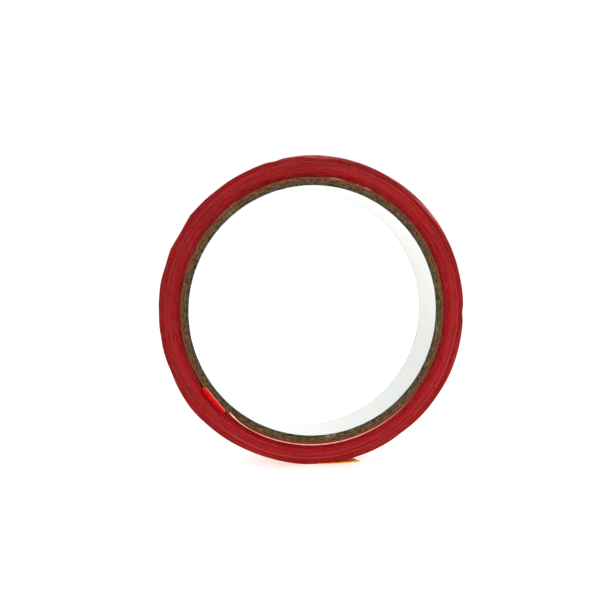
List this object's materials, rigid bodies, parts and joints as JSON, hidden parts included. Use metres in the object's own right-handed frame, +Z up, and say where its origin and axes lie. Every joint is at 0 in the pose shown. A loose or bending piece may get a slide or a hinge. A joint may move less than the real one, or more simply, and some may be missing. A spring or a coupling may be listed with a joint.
{
  "type": "electrical tape roll",
  "caption": "Roll of narrow translucent red film tape on a wide paperboard core, standing on its rim, with a loose outer end and a folded edge at the strip's start.",
  "frame": {"origin": "centre of the core's bore, at the middle of the tape's width", "axes": "+Z up with the roll standing on its rim, +Y along the bore axis away from the front face, +X to the right of someone who looks at the front face"},
  "size_m": [0.094, 0.0201, 0.094],
  "materials": {
    "liner_paper": "smooth white paper",
    "grey_board": "cut edge of dark grey chipboard",
    "brown_board": "cut edge of brown chipboard, fibrous",
    "kraft_paper": "cut edge of kraft paper",
    "tape_film": "glossy translucent film",
    "tape_edge": "satin edges of many turns of film"
  },
  "bodies": {
    "roll": {"core_liner": "liner_paper", "core_ply_1": "grey_board", "core_ply_2": "brown_board", "core_ply_3": "brown_board", "core_ply_4": "brown_board", "core_ply_5": "brown_board", "core_cover": "kraft_paper", "tape_first_turn": "tape_film", "tape_pack": "tape_edge", "tape_last_turn": "tape_film"},
    "start_lip": {"tape_start_lip": "tape_film"},
    "free_end": {"tape_free_end": "tape_film"}
  },
  "joints": [
    {"name": "free_end_peel", "type": "hinge", "parent": "roll", "child": "free_end", "pos_m": [0.0043, 0, -0.04696], "axis": [0, 1, 0], "range_deg": [-3, 110], "stiffness_Nm_per_rad": 0.0001},
    {"name": "start_lip_fold", "type": "hinge", "parent": "roll", "child": "start_lip", "pos_m": [-0.03099, -0.00984, -0.0267], "axis": [0.6528, 0, -0.7576], "range_deg": [-14, 150], "stiffness_Nm_per_rad": 0.00002}
  ]
}
